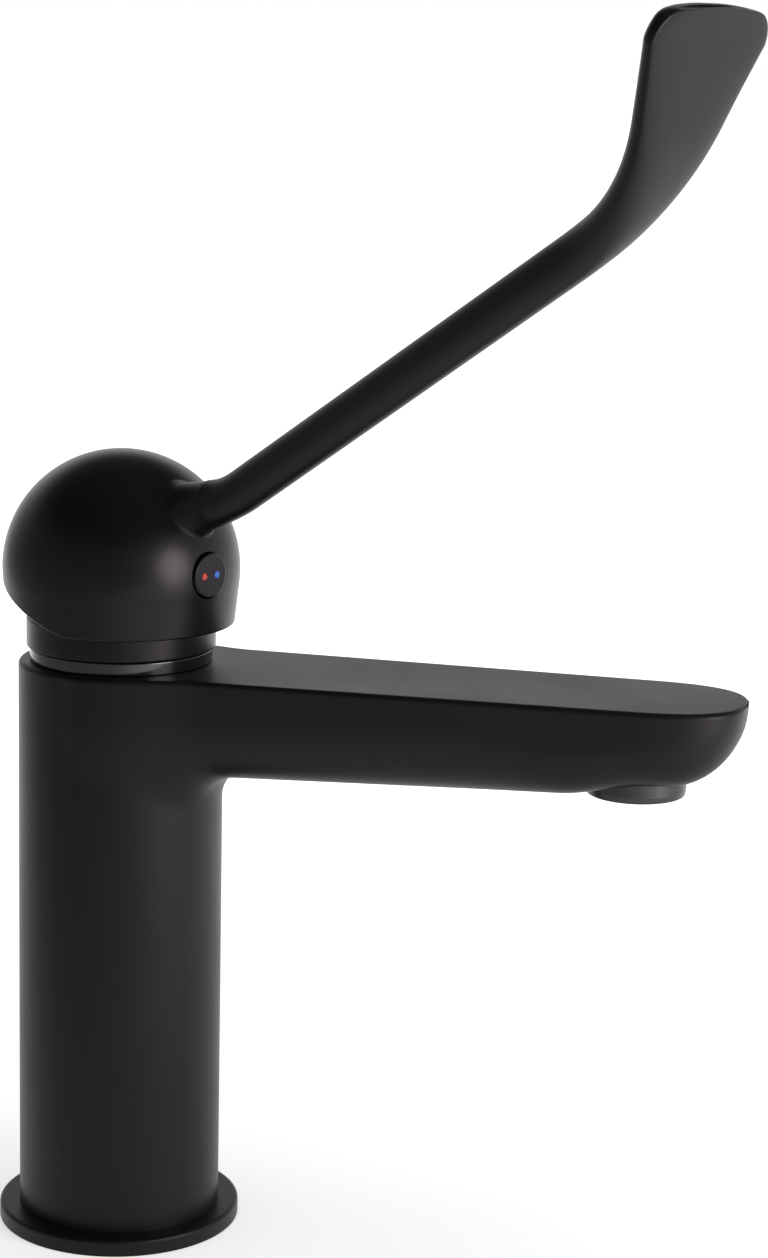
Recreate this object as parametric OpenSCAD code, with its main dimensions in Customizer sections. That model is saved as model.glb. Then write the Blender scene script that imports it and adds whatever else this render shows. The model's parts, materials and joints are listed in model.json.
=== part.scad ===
// Single lever basin tap with a long elbow lever. The origin is on the column's axis, on the deck.
// +X runs along the spout, +Z is up, and hot is on the -Y side.

/* [Body] */
// Outer radius of the column
column_r = 23; // [21.5:0.5:28]
// Height of the column's rim and the spout's flat top above the deck
column_h = 131.8; // [125:0.1:170]
// Round on the column's rim
rim_round = 0.8; // [0.4:0.1:1.2]
// Distance from the column's axis to the outlet
spout_reach = 117.5; // [95:0.5:160]
// Length of the spout beyond the outlet's axis
spout_nose = 23.5; // [20:0.5:30]
// Width of the spout at the column's axis
spout_root_w = 39.4; // [36:0.2:42]
// Width of the spout at the outlet's axis
spout_tip_w = 34.4; // [32:0.2:38]
// Depth of the spout at the column's axis
spout_root_h = 24.8; // [23:0.1:27]
// Depth of the spout at the outlet's axis
spout_tip_h = 21.2; // [19.5:0.1:23]
// Radius of the spout's lower corners
spout_corner_r = 15; // [10:0.5:15.5]
// Radius of the spout's end, seen from the side
bow_r = 17.4; // [16:0.1:19]
// Fillet under the spout where it leaves the column
spout_fillet_r = 4; // [2:0.5:6]
// Radius of the open skirt under the column
skirt_r = 17.5; // [16.5:0.5:18.5]
// Height of the open skirt's ceiling above the deck
skirt_h = 52; // [30:1:60]

/* [Base] */
// Outer radius of the base ring
base_r = 27.6; // [26:0.2:34]
// Thickness of the base ring
base_t = 3.8; // [3:0.1:6]
// Round on the base ring's upper edge
base_round = 0.7; // [0.4:0.1:2]
// Radius of the column's spigot in the base ring
spigot_r = 20; // [19:0.1:21]
// Length of the column's spigot in the base ring
spigot_h = 2.5; // [1.5:0.1:2.8]
// Inner radius of the base seal
base_seal_r = 22; // [21.8:0.1:23]
// Width of the base seal
base_seal_w = 2.6; // [1.5:0.1:3]
// Thickness of the base seal
base_seal_t = 1.6; // [1:0.1:2]

/* [Water ways] */
// Radius of the threaded inlets for the supply pipes
inlet_r = 4.5; // [4:0.1:5]
// Depth of the inlet threads
inlet_depth = 12; // [8:0.5:16]
// Distance between the inlets' axes
inlet_pitch = 16; // [14:0.5:18]
// Distance of the inlets in front of the column's axis
inlet_x = 4; // [2:0.5:5]
// Radius of the feeds from the inlets to the cartridge
feed_r = 3.2; // [2.5:0.1:3.5]
// Radius of the way through the spout
way_r = 3.6; // [3:0.1:4]

/* [Outlet] */
// Radius of the aerator's visible ring
aerator_r = 11; // [10.6:0.1:12]
// Step from the aerator's visible ring to its thread
aerator_step = 0.7; // [0.4:0.1:1]
// How far the aerator's ring stands out below the spout
aerator_drop = 0.4; // [0.2:0.1:2]
// Depth of the visible ring's seat in the spout
aerator_ring_h = 4.4; // [4:0.1:6]
// Length of the aerator's threaded part
aerator_thread_h = 4.2; // [3.5:0.1:5]
// Wall of the aerator's housing
aerator_wall = 1.8; // [1.2:0.1:2.4]
// Thickness of the rubber washer on the aerator
washer_t = 1.2; // [0.8:0.1:1.6]
// Thickness of the outlet screen
screen_t = 1; // [0.8:0.1:1.5]
// Radius of the outlet screen's holes
screen_hole_r = 0.75; // [0.5:0.05:0.9]
// Spacing of the outlet screen's holes
screen_pitch = 2.5; // [2.2:0.1:3.5]

/* [Cartridge] */
// Radius of the cartridge chamber
chamber_r = 17.8; // [17.4:0.1:18.2]
// Depth of the cartridge's seat below the rim
seat_depth = 35; // [34:0.5:38]
// Step from the chamber to the thread that the cartridge nut screws into
nut_step = 1.2; // [0.8:0.1:1.6]
// Depth of that thread below the rim
nut_depth = 7.5; // [6:0.1:8]
// Wall of the cartridge nut
nut_wall = 2.3; // [1.8:0.1:2.4]
// Width of the seal between the cartridge housing and the chamber
seal_w = 2; // [1.6:0.1:2.2]
// Thickness of that seal
seal_t = 2; // [1.5:0.1:2.5]
// Wall of the cartridge housing
housing_wall = 1.9; // [1.6:0.1:2.2]
// Thickness of the cartridge housing's clamping flange
flange_t = 3.5; // [2.5:0.1:4]
// Thickness of the cartridge housing's lid
lid_t = 3; // [2.4:0.1:3.4]
// Thickness of the cartridge's base plate
cart_base_t = 6; // [5.5:0.1:7]
// Thickness of the gasket under the fixed disc
gasket_t = 1; // [0.8:0.1:1.4]
// Thickness of the fixed ceramic disc
fixed_disc_t = 4; // [3.5:0.1:5]
// Thickness of the moving ceramic disc
moving_disc_t = 4.5; // [4:0.1:5]
// Radius of the circle that the inlet ports lie on
port_ring_r = 6.3; // [6:0.1:6.5]
// Angle of each inlet port from the spout's direction
port_angle = 54; // [45:1:60]
// Radius of the inlet ports in the discs
port_r = 2; // [1.6:0.1:2.2]
// Radius of the outlet port in the discs
outlet_port_r = 2.8; // [2.4:0.1:3]
// Thickness of the disc carrier's plate
carrier_t = 3.5; // [3:0.1:4]
// Height of the disc carrier's hub
hub_h = 4; // [3.6:0.1:4.4]
// Depth of the stem's ball in the hub, to the ball's centre
ball_depth = 1.8; // [1.4:0.1:2.2]
// Half the width of the disc carrier's square hub
hub_half = 4.3; // [4:0.1:4.5]
// Step from the rotating guide in to its neck
neck_step = 3; // [2.6:0.1:3.4]
// How far the guide's neck stands out of the housing's lid
neck_proud = 1.4; // [0.8:0.1:2]
// Height of the guide's shoulder above the stem's pin
pin_cover = 3; // [2.5:0.1:3.5]
// Width of the stem across its flats
stem_w = 7.2; // [6.4:0.1:7.6]
// Radius of the ball at the stem's foot
ball_r = 2.6; // [2.3:0.1:2.8]
// Distance from the stem's pivot down to the ball's centre
stem_foot = 8; // [7.5:0.1:8.3]
// Height of the stem above its pivot
stem_rise = 34; // [30:0.5:36]
// Radius of the stem's pivot pin
pin_r = 1.5; // [1.2:0.1:1.8]

/* [Collar] */
// Width of the trim ring on the rim
trim_w = 1.5; // [1:0.1:1.8]
// Height of the trim ring
trim_h = 3.8; // [3.2:0.1:4.2]
// Wall of the cover collar
collar_wall = 2.2; // [1.8:0.1:2.5]
// Height of the cover collar
collar_h = 6.2; // [5.5:0.1:6.6]
// Thickness of the collar's inward lip
collar_lip_t = 0.9; // [0.7:0.1:1.2]
// Bevel on the collar's edges
collar_bevel = 0.5; // [0.3:0.1:0.8]
// Radius of the collar's dome about the stem's pivot
cover_dome_r = 22; // [21.5:0.1:22.2]
// Wall of the collar's dome
cover_dome_t = 1.2; // [0.9:0.1:1.5]

/* [Lever] */
// Turn of the lever from the spout towards hot
lever_turn = 25; // [0:1:45]
// Lift of the lever from closed to open
tilt_max = 22; // [16:1:22]
// Radius of the head's dome
dome_r = 26.5; // [25.8:0.1:28]
// Height of the dome's centre above the rim
dome_rise = 20.8; // [20.2:0.1:22.2]
// Gap between the cover collar and the inside of the head
head_gap = 1.3; // [1:0.1:1.6]
// Height of the head's lower edge above the rim
head_rise = 8.7; // [8.4:0.1:9.6]
// Round on the head's lower edge
head_round = 2; // [1:0.1:2.4]
// Wall of the head
head_wall = 2.8; // [2.2:0.1:3]
// Slope of the cut that clears the head's back when it tilts
head_cut_pitch = 21; // [20:1:26]
// Distance in front of the axis where that cut starts
head_cut_x = 5.5; // [4:0.5:6]
// Wall of the bosses inside the head
boss_wall = 2.5; // [2:0.1:3]
// Radius of the indicator cap
cap_r = 5; // [4.5:0.1:5.5]
// Thickness of the indicator cap
cap_t = 2.4; // [1.8:0.1:3]
// How far the indicator cap stands out of the dome
cap_proud = 0.3; // [0.1:0.1:0.6]
// Height of the indicator cap above the dome's centre
cap_rise = 1.4; // [0:0.1:2]
// Radius of the hot and cold marks
mark_r = 0.65; // [0.5:0.05:0.9]
// Distance between the hot and cold marks
mark_pitch = 4; // [3:0.1:5]
// Depth of the hot and cold marks in the cap
mark_t = 0.4; // [0.3:0.1:0.6]
// Radius of the grub screw
grub_r = 2.5; // [2:0.1:2.8]
// Length of the grub screw
grub_l = 10; // [8:0.5:12]
// Angle above the horizon at which the arm leaves the dome
arm_dome_angle = 36.1; // [34:0.1:40]
// Radius of the arm
arm_r = 4.8; // [4.6:0.1:6]
// Radius of the arm where it meets the dome
arm_root_r = 6.6; // [6.2:0.1:7.5]
// Length over which the arm's root narrows
arm_flare_l = 13; // [8:0.5:18]
// Pitch of the arm at its root
arm_root_pitch = 16.6; // [12:0.1:25]
// Length of the arm before its first bend
arm_root_l = 6.7; // [4:0.1:9]
// Radius of the arm's first bend
arm_bend_r = 32; // [28:0.1:40]
// Pitch of the long straight part of the arm
arm_pitch = 33.2; // [28:0.1:40]
// Length of the long straight part of the arm
arm_l = 107; // [80:0.1:150]
// Radius of the bend into the paddle
paddle_bend_r = 44.6; // [30:0.1:60]
// Pitch of the paddle
paddle_pitch = 70.5; // [60:0.1:85]
// Length of the paddle after its bend
paddle_l = 24.6; // [18:0.1:50]
// Width of the paddle
paddle_w = 41.5; // [30:0.5:50]
// Thickness of the paddle
paddle_t = 5.4; // [4:0.1:7]
// Radius of the paddle's corners
paddle_corner_r = 5.7; // [4:0.1:8]
// Bulge of the paddle's end
paddle_bulge = 1.5; // [0:0.1:4]
// Radius of the arm's spigot in the head
arm_spigot_r = 4.2; // [3.6:0.1:4.4]
// Length of the arm's spigot in the head
arm_spigot_l = 10; // [8:0.5:11]

/* [Fixing] */
// Thickness of the deck that the tap is clamped to
deck_t = 20; // [5:1:40]
// Radius of the fixing stud
stud_r = 4; // [3:0.1:4.4]
// Distance of the stud behind the column's axis
stud_x = 12; // [11.5:0.1:12.5]
// Depth of the stud's thread in the column
stud_depth = 14; // [10:0.5:18]
// Free end of the stud below its nut
stud_end = 26; // [10:1:40]
// Outer radius of the clamp
clamp_r = 25; // [24:0.5:30]
// Thickness of the rubber clamp gasket
clamp_gasket_t = 3; // [2:0.5:5]
// Thickness of the steel clamp plate
clamp_plate_t = 2.5; // [2:0.5:4]
// Half the width of the clamp's slot for the supply pipes
clamp_slot_r = 13; // [12:0.5:13.5]
// Radius of the stud nut's corners
stud_nut_r = 7.5; // [7:0.1:8.5]
// Height of the stud nut
stud_nut_h = 8; // [6:0.5:12]

/* [Fits] */
// Clearance between pieces that are fixed together
fit_gap = 0.05; // [0.02:0.01:0.1]
// Clearance of the turning fits
run_gap = 0.05; // [0.03:0.01:0.08]
// Clearance between pieces that move past each other
free_gap = 0.4; // [0.3:0.05:0.5]

/* [Hidden] */
$fn = 96;
past = 1;
finish = [0.25, 0.24, 0.26];

// Small details that no other piece depends on
peg_r = 1.8;
peg_l = 3;
peg_x = -8;
peg_y = 9;
post_r = 1.4;
post_wall = 0.9;
inlet_seal_wall = 1.4;
port_cover = 0.2;
drive_r = 1.2;
drive_l = 1.5;
drive_wall = 0.8;
pin_wall = 1.2;
stem_heel = 2.3;
way_cover = 0.8;
clamp_bridge = 2;
insert_ways = 8;

// Levels of the spout and the outlet
spout_bottom = column_h - spout_root_h;
spout_slope = atan((spout_root_h - spout_tip_h) / spout_reach);
bow_x = spout_reach + spout_nose - bow_r;
bow_z = spout_bottom + bow_x * tan(spout_slope) + bow_r;
outlet_z = column_h - spout_tip_h;
aerator_z = outlet_z - aerator_drop;
thread_z = aerator_z + aerator_ring_h;
washer_z = thread_z + aerator_thread_h;
shoulder_z = washer_z + washer_t;
aerator_thread_r = aerator_r - aerator_step;
insert_r = aerator_thread_r - aerator_wall;
shoulder_r = insert_r - aerator_wall / 2;
insert_hub_r = insert_r / 4;
insert_way_r = insert_r / 6;
insert_way_ring = 0.62 * insert_r;

// Levels of the cartridge, from its seat upwards
seat_z = column_h - seat_depth;
gasket_z = seat_z + cart_base_t;
fixed_disc_z = gasket_z + gasket_t;
moving_disc_z = fixed_disc_z + fixed_disc_t + run_gap;
carrier_z = moving_disc_z + moving_disc_t;
hub_z = carrier_z + carrier_t;
ball_z = hub_z + hub_h - ball_depth;
pivot_z = ball_z + stem_foot;
rotor_z = hub_z + free_gap;
rotor_top = pivot_z + pin_r + pin_cover;
lid_z = rotor_top + run_gap;
neck_top = lid_z + lid_t + neck_proud;
flange_z = column_h - nut_depth - flange_t;
nut_z = flange_z + flange_t;
nut_r = chamber_r + nut_step;
nut_in_r = nut_r - nut_wall;
housing_r = chamber_r - seal_w;
housing_in_r = housing_r - housing_wall;
rotor_r = housing_in_r - run_gap;
neck_r = rotor_r - neck_step;
pin_half = rotor_r - pin_wall;
stem_top = pivot_z + stem_rise;
way_z = flange_z - seal_t - way_r;
way_end_z = shoulder_z + way_r + way_cover;

// The discs and what holds them. The carrier slides as the stem tilts.
disc_travel = stem_foot * tilt_max * PI / 180;
moving_disc_r = housing_in_r - disc_travel - free_gap;
pocket_r = port_ring_r - port_r - port_cover;
drive_y = hub_half + drive_r + drive_wall;
post_y = housing_in_r - post_r - post_wall;
fixed_disc_r = housing_in_r - fit_gap;
gasket_r = post_y - post_r - free_gap;

// Reach of the stem's slot in front of and behind the axis, from its tilt
stem_half = stem_w / 2;
slot_half = stem_half + free_gap;
slot_front = stem_half / cos(tilt_max) + (pivot_z - hub_z - hub_h) * tan(tilt_max) + free_gap;
slot_back = stem_half / cos(tilt_max) + (neck_top - pivot_z) * tan(tilt_max) + free_gap;

// Levels of the collar and the head
trim_z = column_h;
trim_r = nut_r + trim_w;
collar_z = trim_z + trim_h;
collar_r = nut_r + collar_wall;
lip_z = collar_z + collar_h - collar_lip_t;
cover_hole_r = norm([cover_dome_r * sin(tilt_max) + stem_half * cos(tilt_max), stem_half]) + free_gap;
dome_z = column_h + dome_rise;
head_z = column_h + head_rise;
skirt_edge_r = collar_r + head_gap + head_wall;
boss_z = pivot_z + cover_dome_r + free_gap;
boss_r = stem_half * sqrt(2) + boss_wall;
cap_z = dome_z + cap_rise;
cap_face_x = dome_r + cap_proud;

// The fixing under the deck
clamp_z = -deck_t - clamp_gasket_t;
plate_z = clamp_z - clamp_plate_t;
stud_nut_z = plate_z - stud_nut_h;
clamp_slot_x = clamp_slot_r - stud_x + stud_r + clamp_bridge;

// Turns the lever's own frame, with +X along the lever, into place.
module on_lever() rotate([0, 0, -lever_turn]) children();

// Stands a shape that is drawn along +Z at a point of the lever's plane, along a pitch.
module along(point, pitch) translate([point.x, 0, point.y]) rotate([0, 90 - pitch, 0]) children();

// A ring from its radii and levels.
module ring(inner, outer, low, high) difference() {
    translate([0, 0, low]) cylinder(r = outer, h = high - low);
    translate([0, 0, low - past]) cylinder(r = inner, h = high - low + 2 * past);
}

// What a round of this radius takes off the corner at the origin of a shape in the third quadrant.
module corner_waste(r) difference() {
    translate([-r, -r]) square(r + past);
    translate([-r, -r]) circle(r);
}

// A closed skin over rings of points, with a fan at each end.
module loft(rings) {
    n = len(rings[0]);
    last = (len(rings) - 1) * n;
    points = [for (r = rings) for (p = r) p];
    sides = [
        for (k = [0:len(rings) - 2]) for (i = [0:n - 1])
            let (a = k * n + i, b = k * n + (i + 1) % n)
                each [[a, a + n, b], [b, a + n, b + n]]
    ];
    caps = [for (i = [1:n - 2]) each [[0, i, i + 1], [last, last + i + 1, last + i]]];
    polyhedron(points, concat(sides, caps));
}

// Half width and bottom of the spout at a distance from the column's axis. The nose is an ellipse.
function spout_half_w(x) = x < spout_reach
    ? (spout_root_w + (spout_tip_w - spout_root_w) * x / spout_reach) / 2
    : spout_tip_w / 2 * sqrt(1 - pow((x - spout_reach) / spout_nose, 2));
function spout_low(x) = x < bow_x
    ? spout_bottom + x * tan(spout_slope)
    : bow_z - sqrt(bow_r * bow_r - pow(x - bow_x, 2));

// One cross section of the spout: a flat top, upright walls and round lower corners.
corner_turns = [0:11.25:90];
corner_share = 0.94;
function spout_ring(x) = let (
    w = spout_half_w(x),
    low = spout_low(x),
    rw = min(spout_corner_r, corner_share * w),
    rh = min(spout_corner_r, corner_share * (column_h - low)),
    corner = [for (turn = corner_turns) [w - rw + rw * cos(turn), low + rh - rh * sin(turn)]],
    n = len(corner)
) concat(
    [[x, -w, column_h]],
    [for (p = corner) [x, -p.x, p.y]],
    [for (i = [n - 1:-1:0]) [x, corner[i].x, corner[i].y]],
    [[x, w, column_h]]
);
spout_stops = concat(
    [0, bow_x - spout_nose, spout_reach],
    [for (turn = [12:12:72]) spout_reach + spout_nose * sin(turn)],
    [for (turn = [78, 83, 87]) spout_reach + spout_nose * sin(turn)]
);

module spout() loft([for (x = spout_stops) spout_ring(x)]);

module column() rotate_extrude() difference() {
    union() {
        translate([0, base_t]) square([column_r, column_h - base_t]);
        translate([0, base_t - spigot_h]) square([spigot_r, spigot_h + past]);
    }
    translate([column_r, column_h]) corner_waste(rim_round);
}

// The fillet lies under the flat strip of the spout's bottom.
module spout_fillet() intersection() {
    rotate_extrude() difference() {
        translate([column_r - past, spout_bottom - spout_fillet_r])
            square([spout_fillet_r + past, spout_fillet_r + past]);
        translate([column_r + spout_fillet_r, spout_bottom - spout_fillet_r]) circle(spout_fillet_r);
    }
    translate([0, spout_corner_r - spout_root_w / 2, 0])
        cube([2 * column_r, spout_root_w - 2 * spout_corner_r, column_h]);
}

module body() color(finish) difference() {
    union() {
        column();
        spout();
        spout_fillet();
    }
    translate([0, 0, -past]) cylinder(r = skirt_r, h = skirt_h + past);
    translate([0, 0, seat_z]) cylinder(r = chamber_r, h = seat_depth + past);
    translate([0, 0, nut_z - past]) cylinder(r = nut_r, h = column_h - nut_z + 2 * past);
    for (side = [-1, 1]) translate([inlet_x, side * inlet_pitch / 2, skirt_h - past]) {
        cylinder(r = inlet_r, h = inlet_depth + past);
        cylinder(r = feed_r, h = seat_z - skirt_h + 2 * past);
    }
    translate([-stud_x, 0, skirt_h - past]) cylinder(r = stud_r + fit_gap, h = stud_depth + past);
    peg_places() translate([0, 0, seat_z - peg_l]) cylinder(r = peg_r + fit_gap, h = peg_l + past);
    water_way();
    translate([spout_reach, 0, 0]) {
        cylinder(r = aerator_r + fit_gap, h = thread_z);
        cylinder(r = aerator_thread_r + fit_gap, h = shoulder_z);
        cylinder(r = shoulder_r, h = way_end_z + way_r);
    }
}

// The bore from the cartridge chamber up to the outlet.
module water_way() {
    run = spout_reach - chamber_r;
    rise = way_end_z - way_z;
    translate([chamber_r, 0, way_z]) rotate([0, 90 - atan(rise / run), 0]) translate([0, 0, -2 * past])
        cylinder(r = way_r, h = norm([run, rise]) + 2 * past);
}

module base_ring() color(finish) rotate_extrude() difference() {
    translate([spigot_r + fit_gap, 0]) square([base_r - spigot_r - fit_gap, base_t]);
    translate([base_r, base_t]) corner_waste(base_round);
    translate([base_seal_r, -past]) square([base_seal_w, base_seal_t + past]);
}

module base_seal() color("black")
    ring(base_seal_r + fit_gap, base_seal_r + base_seal_w - fit_gap, 0, base_seal_t);

module aerator_housing() color(finish) translate([spout_reach, 0, 0]) difference() {
    union() {
        translate([0, 0, aerator_z]) cylinder(r = aerator_r, h = aerator_ring_h);
        translate([0, 0, aerator_z]) cylinder(r = aerator_thread_r, h = washer_z - aerator_z);
    }
    translate([0, 0, aerator_z + screen_t]) cylinder(r = insert_r, h = washer_z);
    translate([0, 0, aerator_z - past]) cylinder(r = shoulder_r, h = washer_z);
}

module aerator_insert() color("whitesmoke") translate([spout_reach, 0, 0]) difference() {
    ring(insert_hub_r, insert_r - fit_gap, aerator_z + 2 * screen_t, washer_z);
    for (i = [1:insert_ways]) rotate([0, 0, i * 360 / insert_ways]) translate([insert_way_ring, 0, aerator_z])
        cylinder(r = insert_way_r, h = washer_z - aerator_z + past);
}

module aerator_screen() color("silver") translate([spout_reach, 0, aerator_z + screen_t]) difference() {
    cylinder(r = insert_r - fit_gap, h = screen_t);
    reach = floor((shoulder_r - screen_hole_r) / screen_pitch);
    for (i = [-reach:reach], j = [-reach:reach]) {
        place = screen_pitch * [i, j];
        if (norm(place) < shoulder_r - screen_hole_r)
            translate([place.x, place.y, -past])
                cylinder(r = screen_hole_r, h = screen_t + 2 * past, $fn = 16);
    }
}

module aerator_washer() color("black") translate([spout_reach, 0, 0])
    ring(shoulder_r, aerator_thread_r, washer_z, shoulder_z);

// The cartridge base stands on two pegs in the body's seat, and two posts hold the fixed disc.
module peg_places() for (side = [-1, 1]) translate([peg_x, side * peg_y, 0]) children();
module post_places() for (side = [-1, 1]) translate([0, side * post_y, 0]) children();
module inlet_places() for (side = [-1, 1]) translate([inlet_x, side * inlet_pitch / 2, 0]) children();
module port_places() for (side = [-1, 1])
    rotate([0, 0, side * port_angle]) translate([port_ring_r, 0, 0]) children();

// The holes through the gasket and the fixed disc.
module ports(low, high) translate([0, 0, low - past]) {
    cylinder(r = outlet_port_r, h = high - low + 2 * past);
    port_places() cylinder(r = port_r, h = high - low + 2 * past);
}

module cartridge_base() color("gainsboro") difference() {
    union() {
        translate([0, 0, seat_z]) cylinder(r = housing_r, h = cart_base_t);
        peg_places() translate([0, 0, seat_z - peg_l]) cylinder(r = peg_r, h = peg_l + past);
        post_places() translate([0, 0, gasket_z - past])
            cylinder(r = post_r, h = gasket_t + fixed_disc_t + past - run_gap);
    }
    outlet_floor = seat_z + cart_base_t / 3;
    translate([0, 0, outlet_floor]) cylinder(r = outlet_port_r, h = cart_base_t);
    translate([-housing_r - past, -outlet_port_r, outlet_floor])
        cube([housing_r + past, 2 * outlet_port_r, cart_base_t / 3]);
    port_places() translate([0, 0, seat_z + cart_base_t / 2 - past]) cylinder(r = port_r, h = cart_base_t);
    inlet_places() translate([0, 0, seat_z - past]) {
        cylinder(r = feed_r, h = cart_base_t / 2 + past);
        cylinder(r = feed_r + inlet_seal_wall, h = cart_base_t / 4 + past);
    }
}

module inlet_seals() color("black") inlet_places()
    ring(feed_r, feed_r + inlet_seal_wall - fit_gap, seat_z, seat_z + cart_base_t / 4);

module disc_gasket() color("black") difference() {
    translate([0, 0, gasket_z]) cylinder(r = gasket_r, h = gasket_t);
    ports(gasket_z, fixed_disc_z);
}

module fixed_disc() color("ivory") difference() {
    translate([0, 0, fixed_disc_z]) cylinder(r = fixed_disc_r, h = fixed_disc_t);
    ports(fixed_disc_z, moving_disc_z);
    post_places() translate([0, 0, fixed_disc_z - past])
        cylinder(r = post_r + fit_gap, h = fixed_disc_t + 2 * past);
}

// The moving disc joins an inlet port to the outlet port through a pocket in its underside.
module drive_places() for (side = [-1, 1]) translate([0, side * drive_y, 0]) children();

module moving_disc() color("ivory") on_lever() difference() {
    translate([0, 0, moving_disc_z]) cylinder(r = moving_disc_r, h = moving_disc_t);
    translate([0, 0, moving_disc_z - past]) cylinder(r = pocket_r, h = moving_disc_t / 2 + past);
    drive_places() translate([0, 0, carrier_z - drive_l]) cylinder(r = drive_r + fit_gap, h = drive_l + past);
}

module disc_carrier() color("dimgray") on_lever() difference() {
    union() {
        translate([0, 0, carrier_z]) cylinder(r = moving_disc_r, h = carrier_t);
        translate([-hub_half, -hub_half, carrier_z]) cube([2 * hub_half, 2 * hub_half, carrier_t + hub_h]);
        drive_places() translate([0, 0, carrier_z - drive_l]) cylinder(r = drive_r, h = drive_l + past);
    }
    translate([0, 0, ball_z - ball_r - free_gap]) cylinder(r = ball_r + free_gap, h = hub_h + carrier_t);
}

module cartridge_housing() color("gainsboro") difference() {
    union() {
        translate([0, 0, gasket_z]) cylinder(r = housing_r, h = lid_z + lid_t - gasket_z);
        translate([0, 0, flange_z]) cylinder(r = chamber_r - fit_gap, h = flange_t);
    }
    translate([0, 0, gasket_z - past]) cylinder(r = housing_in_r, h = lid_z - gasket_z + past);
    translate([0, 0, lid_z - past]) cylinder(r = neck_r + free_gap, h = lid_t + 2 * past);
}

module housing_seal() color("black")
    ring(housing_r + fit_gap, chamber_r - fit_gap, flange_z - seal_t, flange_z);

module rotor() color("white") on_lever() difference() {
    union() {
        translate([0, 0, rotor_z]) cylinder(r = rotor_r, h = rotor_top - rotor_z);
        translate([0, 0, rotor_z]) cylinder(r = neck_r, h = neck_top - rotor_z);
    }
    translate([-hub_half - free_gap, -hub_half - run_gap, rotor_z - past])
        cube([2 * hub_half + disc_travel + 2 * free_gap, 2 * (hub_half + run_gap), hub_h + free_gap + past]);
    translate([-slot_back, -slot_half, rotor_z - past])
        cube([slot_back + slot_front, 2 * slot_half, neck_top - rotor_z + 2 * past]);
    pin_hole(pin_half + fit_gap, fit_gap);
}

module pin_hole(half, gap) translate([0, 0, pivot_z]) rotate([90, 0, 0])
    cylinder(r = pin_r + gap, h = 2 * half, center = true);

module stem_pin() color("silver") on_lever() pin_hole(pin_half, 0);

module stem() color("goldenrod") on_lever() difference() {
    heel = pin_r + stem_heel;
    union() {
        translate([0, 0, ball_z]) sphere(ball_r);
        translate([0, 0, ball_z]) cylinder(r = 0.7 * ball_r, h = stem_foot);
        translate([-stem_half, -stem_half, pivot_z - heel]) cube([stem_w, stem_w, stem_rise + heel]);
    }
    pin_hole(stem_w, run_gap);
}

module cartridge_nut() color("goldenrod") ring(nut_in_r, nut_r - fit_gap, nut_z, lip_z);

module trim_ring() color("silver") ring(nut_r, trim_r, trim_z, trim_z + trim_h);

// The collar screws onto the nut. Its lip covers the nut's top and carries a dome with a hole for the stem.
module cover_collar() color(finish) rotate_extrude() difference() {
    union() {
        translate([cover_hole_r, collar_z]) square([collar_r - cover_hole_r, collar_h]);
        intersection() {
            translate([0, pivot_z]) circle(cover_dome_r);
            translate([cover_hole_r, lip_z]) square(cover_dome_r);
        }
    }
    translate([0, collar_z - past]) square([nut_r, lip_z - collar_z + past]);
    intersection() {
        translate([0, pivot_z]) circle(cover_dome_r - cover_dome_t);
        translate([0, lip_z - past]) square([nut_in_r, cover_dome_r]);
    }
    translate([collar_r, collar_z]) rotate(45) square(collar_bevel * sqrt(2), center = true);
    translate([collar_r, collar_z + collar_h]) rotate(45) square(collar_bevel * sqrt(2), center = true);
}

// Half of the head's outside, for turning, moved inwards by a wall.
module head_half(wall, low) intersection() {
    union() {
        translate([0, dome_z]) circle(dome_r - wall);
        polygon([[0, low], [skirt_edge_r - wall, low], [dome_r - wall, dome_z], [0, dome_z]]);
    }
    translate([0, low]) square(3 * dome_r);
}

module head_shell() rotate_extrude() difference() {
    head_half(0, head_z);
    head_half(head_wall, head_z - past);
    translate([skirt_edge_r, head_z]) mirror([0, 1]) corner_waste(head_round);
}

// What carries the stem, the grub screw and the arm inside the dome.
module head_bosses() intersection() {
    union() {
        translate([0, 0, boss_z]) cylinder(r = boss_r, h = dome_r);
        along([0, cap_z], 0) cylinder(r = grub_r + boss_wall, h = dome_r);
        along(arm_point(0), arm_root_pitch) translate([0, 0, -arm_spigot_l - boss_wall])
            cylinder(r = arm_spigot_r + boss_wall, h = arm_spigot_l + 2 * boss_wall);
    }
    rotate_extrude() head_half(head_wall / 2, boss_z);
}

module lever_head() color(finish) on_lever() difference() {
    union() {
        head_shell();
        head_bosses();
    }
    socket_w = stem_w + 2 * fit_gap;
    translate([-socket_w / 2, -socket_w / 2, boss_z - past])
        cube([socket_w, socket_w, stem_top - boss_z + past]);
    along([0, cap_z], 0) cylinder(r = grub_r + fit_gap, h = 2 * dome_r);
    along([cap_face_x - cap_t, cap_z], 0) cylinder(r = cap_r + fit_gap, h = dome_r);
    along(arm_point(0), arm_root_pitch) translate([0, 0, -arm_spigot_l])
        cylinder(r = arm_spigot_r + fit_gap, h = 2 * arm_spigot_l);
    translate([head_cut_x, -2 * dome_r, head_z]) rotate([0, head_cut_pitch, 0])
        translate([-3 * dome_r, 0, -dome_r]) cube([3 * dome_r, 4 * dome_r, dome_r]);
}

// The arm's centre line in the lever's plane: straight, bend, straight, bend, paddle.
bend_1 = arm_root_l;
straight_1 = bend_1 + arm_bend_r * (arm_pitch - arm_root_pitch) * PI / 180;
bend_2 = straight_1 + arm_l;
straight_2 = bend_2 + paddle_bend_r * (paddle_pitch - arm_pitch) * PI / 180;
arm_end = straight_2 + paddle_l;

function heading(pitch) = [cos(pitch), sin(pitch)];
function bend_step(r, from, to) = r * [sin(to) - sin(from), cos(from) - cos(to)];
function bend_pitch(r, from, s) = from + s / r * 180 / PI;

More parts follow.
